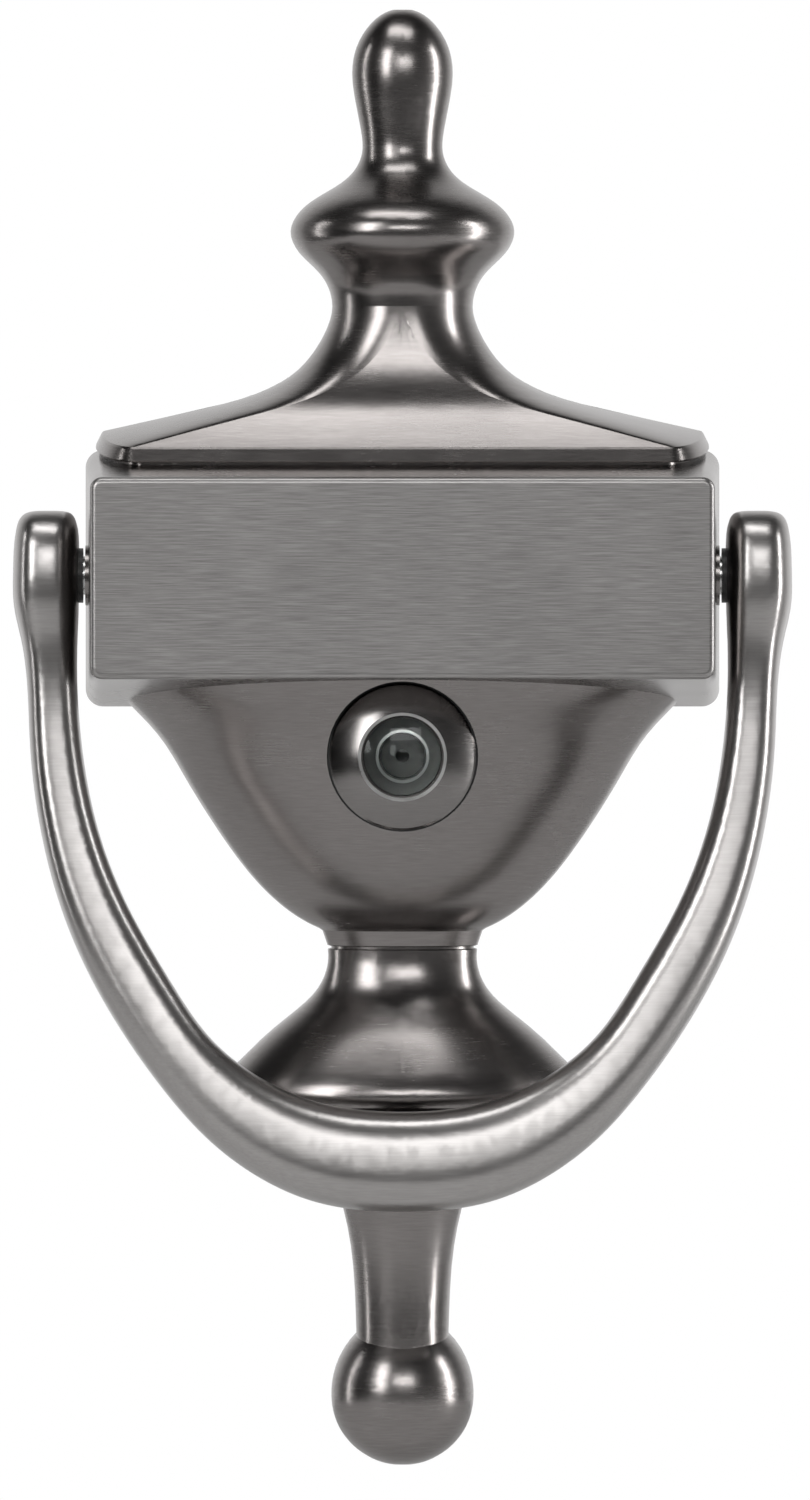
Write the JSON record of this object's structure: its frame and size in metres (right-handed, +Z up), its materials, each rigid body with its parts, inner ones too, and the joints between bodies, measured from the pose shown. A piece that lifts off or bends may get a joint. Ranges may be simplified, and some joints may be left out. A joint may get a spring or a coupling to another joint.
{
  "type": "door knocker with door viewer",
  "caption": "Urn-pattern cast door knocker with a swinging bail, a blank name plate and an optical door viewer, through-bolted to a door.",
  "frame": {"origin": "on the door's outer face, midway between the two fixing bolts", "axes": "+Z up along the knocker's length, +Y into the door from its outer face, -Y the front, +X right"},
  "size_m": [0.1012, 0.0804, 0.19],
  "materials": {
    "casting_finish": "satin black nickel over zinc alloy",
    "bail_finish": "satin black nickel over zinc alloy",
    "plate_finish": "brushed along its length",
    "viewer_flange_finish": "satin black nickel over brass",
    "bright_ring": "polished",
    "viewer_inside_finish": "satin black nickel over brass",
    "cover_finish": "satin black nickel",
    "lens_glass": "clear polished",
    "spacer_plastic": "matte black",
    "gasket_rubber": "matte",
    "strike_rubber": "matte",
    "bush_nylon": "matte",
    "steel": "zinc plated",
    "cap_finish": "satin black nickel",
    "stop_finish": "matt grey"
  },
  "bodies": {
    "knocker": {"body_casting": "casting_finish", "rear_gasket": "gasket_rubber", "nameplate": "plate_finish", "nameplate_nut_left": "steel", "nameplate_nut_right": "steel", "pivot_pin_left": "steel", "pivot_pin_right": "steel", "strike_stud": "strike_rubber", "viewer_outer_barrel": "viewer_flange_finish", "viewer_seal_ring": "gasket_rubber", "viewer_bezel_ring": "bright_ring", "objective_lens": "lens_glass", "front_lens_spacer": "stop_finish", "aperture_stop": "stop_finish", "middle_lens": "lens_glass", "rear_lens_spacer": "spacer_plastic", "rear_lens": "lens_glass", "upper_fixing_bolt": "steel", "lower_fixing_bolt": "steel", "upper_cup_washer": "steel", "lower_cup_washer": "steel", "upper_cover_cap": "cap_finish", "lower_cover_cap": "cap_finish", "front_cell_ring": "bright_ring"},
    "bail": {"knocker_bail": "bail_finish", "bail_bush_left": "bush_nylon", "bail_bush_right": "bush_nylon"},
    "eyepiece": {"viewer_inner_barrel": "viewer_inside_finish", "eyepiece_lens": "lens_glass", "eyepiece_retaining_ring": "spacer_plastic", "cover_rivet": "steel"},
    "privacy_cover": {"privacy_cover": "cover_finish"}
  },
  "joints": [
    {"name": "bail_swing", "type": "hinge", "parent": "knocker", "child": "bail", "pos_m": [0, -0.014, 0.0347], "axis": [-1, 0, 0], "range_deg": [0, 165]},
    {"name": "viewer_length_adjust", "type": "slide", "parent": "knocker", "child": "eyepiece", "axis": [0, 1, 0], "range_m": [-0.007, 0.012]},
    {"name": "cover_swing", "type": "hinge", "parent": "eyepiece", "child": "privacy_cover", "pos_m": [0, 0.04715, 0.0191], "axis": [0, 1, 0], "range_deg": [-115, 115]}
  ]
}
